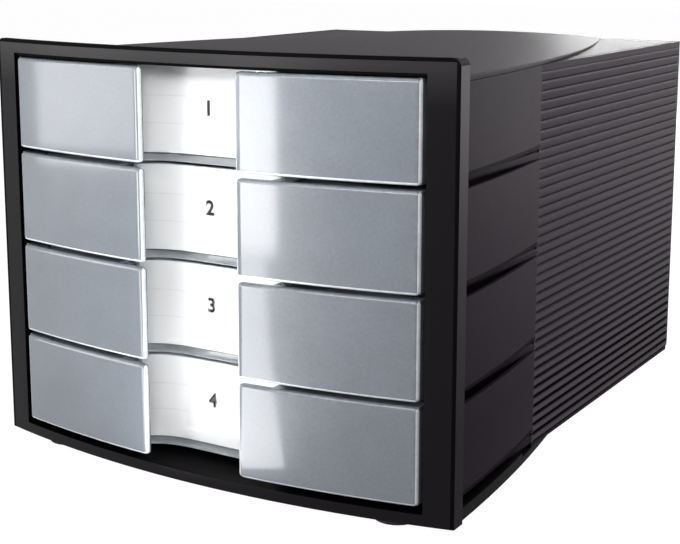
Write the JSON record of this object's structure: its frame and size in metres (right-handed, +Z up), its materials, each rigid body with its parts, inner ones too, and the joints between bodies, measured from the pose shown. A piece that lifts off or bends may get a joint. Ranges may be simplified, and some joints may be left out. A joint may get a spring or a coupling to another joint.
{
  "type": "desktop drawer unit",
  "caption": "Desktop drawer unit with ridged dark sides and a bowed front frame, holding sliding trays with frosted winged fronts and recessed label windows.",
  "frame": {"origin": "centre of the unit's footprint, on the table", "axes": "+Y from the bowed front to the rear, +X to the right of someone who faces the front, +Z up"},
  "size_m": [0.294, 0.368, 0.235],
  "materials": {
    "housing_plastic": "fine satin grain, anthracite",
    "frosted_front": "frosted translucent with clear edges",
    "clear_cover": "clear polished",
    "tray_plastic": "frosted translucent",
    "label_card": "smooth white card",
    "rubber_foot": "matte black"
  },
  "bodies": {
    "housing": {"front_frame": "housing_plastic", "top_plate": "housing_plastic", "top_deck": "housing_plastic", "side_wall_right": "housing_plastic", "side_wall_left": "housing_plastic", "rear_panel": "housing_plastic", "base_plate": "housing_plastic", "foot_front_right": "rubber_foot", "foot_front_left": "rubber_foot", "foot_rear_right": "rubber_foot", "foot_rear_left": "rubber_foot", "shelf_1": "housing_plastic", "shelf_2": "housing_plastic", "shelf_3": "housing_plastic", "shelf_4": "housing_plastic"},
    "drawer_1": {"drawer_1_tray": "tray_plastic", "drawer_1_front": "frosted_front", "drawer_1_label_card": "label_card", "drawer_1_label_cover": "clear_cover"},
    "drawer_2": {"drawer_2_tray": "tray_plastic", "drawer_2_front": "frosted_front", "drawer_2_label_card": "label_card", "drawer_2_label_cover": "clear_cover"},
    "drawer_3": {"drawer_3_tray": "tray_plastic", "drawer_3_front": "frosted_front", "drawer_3_label_card": "label_card", "drawer_3_label_cover": "clear_cover"},
    "drawer_4": {"drawer_4_tray": "tray_plastic", "drawer_4_front": "frosted_front", "drawer_4_label_card": "label_card", "drawer_4_label_cover": "clear_cover"}
  },
  "joints": [
    {"name": "drawer_1_slide", "type": "slide", "parent": "housing", "child": "drawer_1", "axis": [0, -1, 0], "range_m": [0, 0.26]},
    {"name": "drawer_2_slide", "type": "slide", "parent": "housing", "child": "drawer_2", "axis": [0, -1, 0], "range_m": [0, 0.26]},
    {"name": "drawer_3_slide", "type": "slide", "parent": "housing", "child": "drawer_3", "axis": [0, -1, 0], "range_m": [0, 0.26]},
    {"name": "drawer_4_slide", "type": "slide", "parent": "housing", "child": "drawer_4", "axis": [0, -1, 0], "range_m": [0, 0.26]}
  ]
}
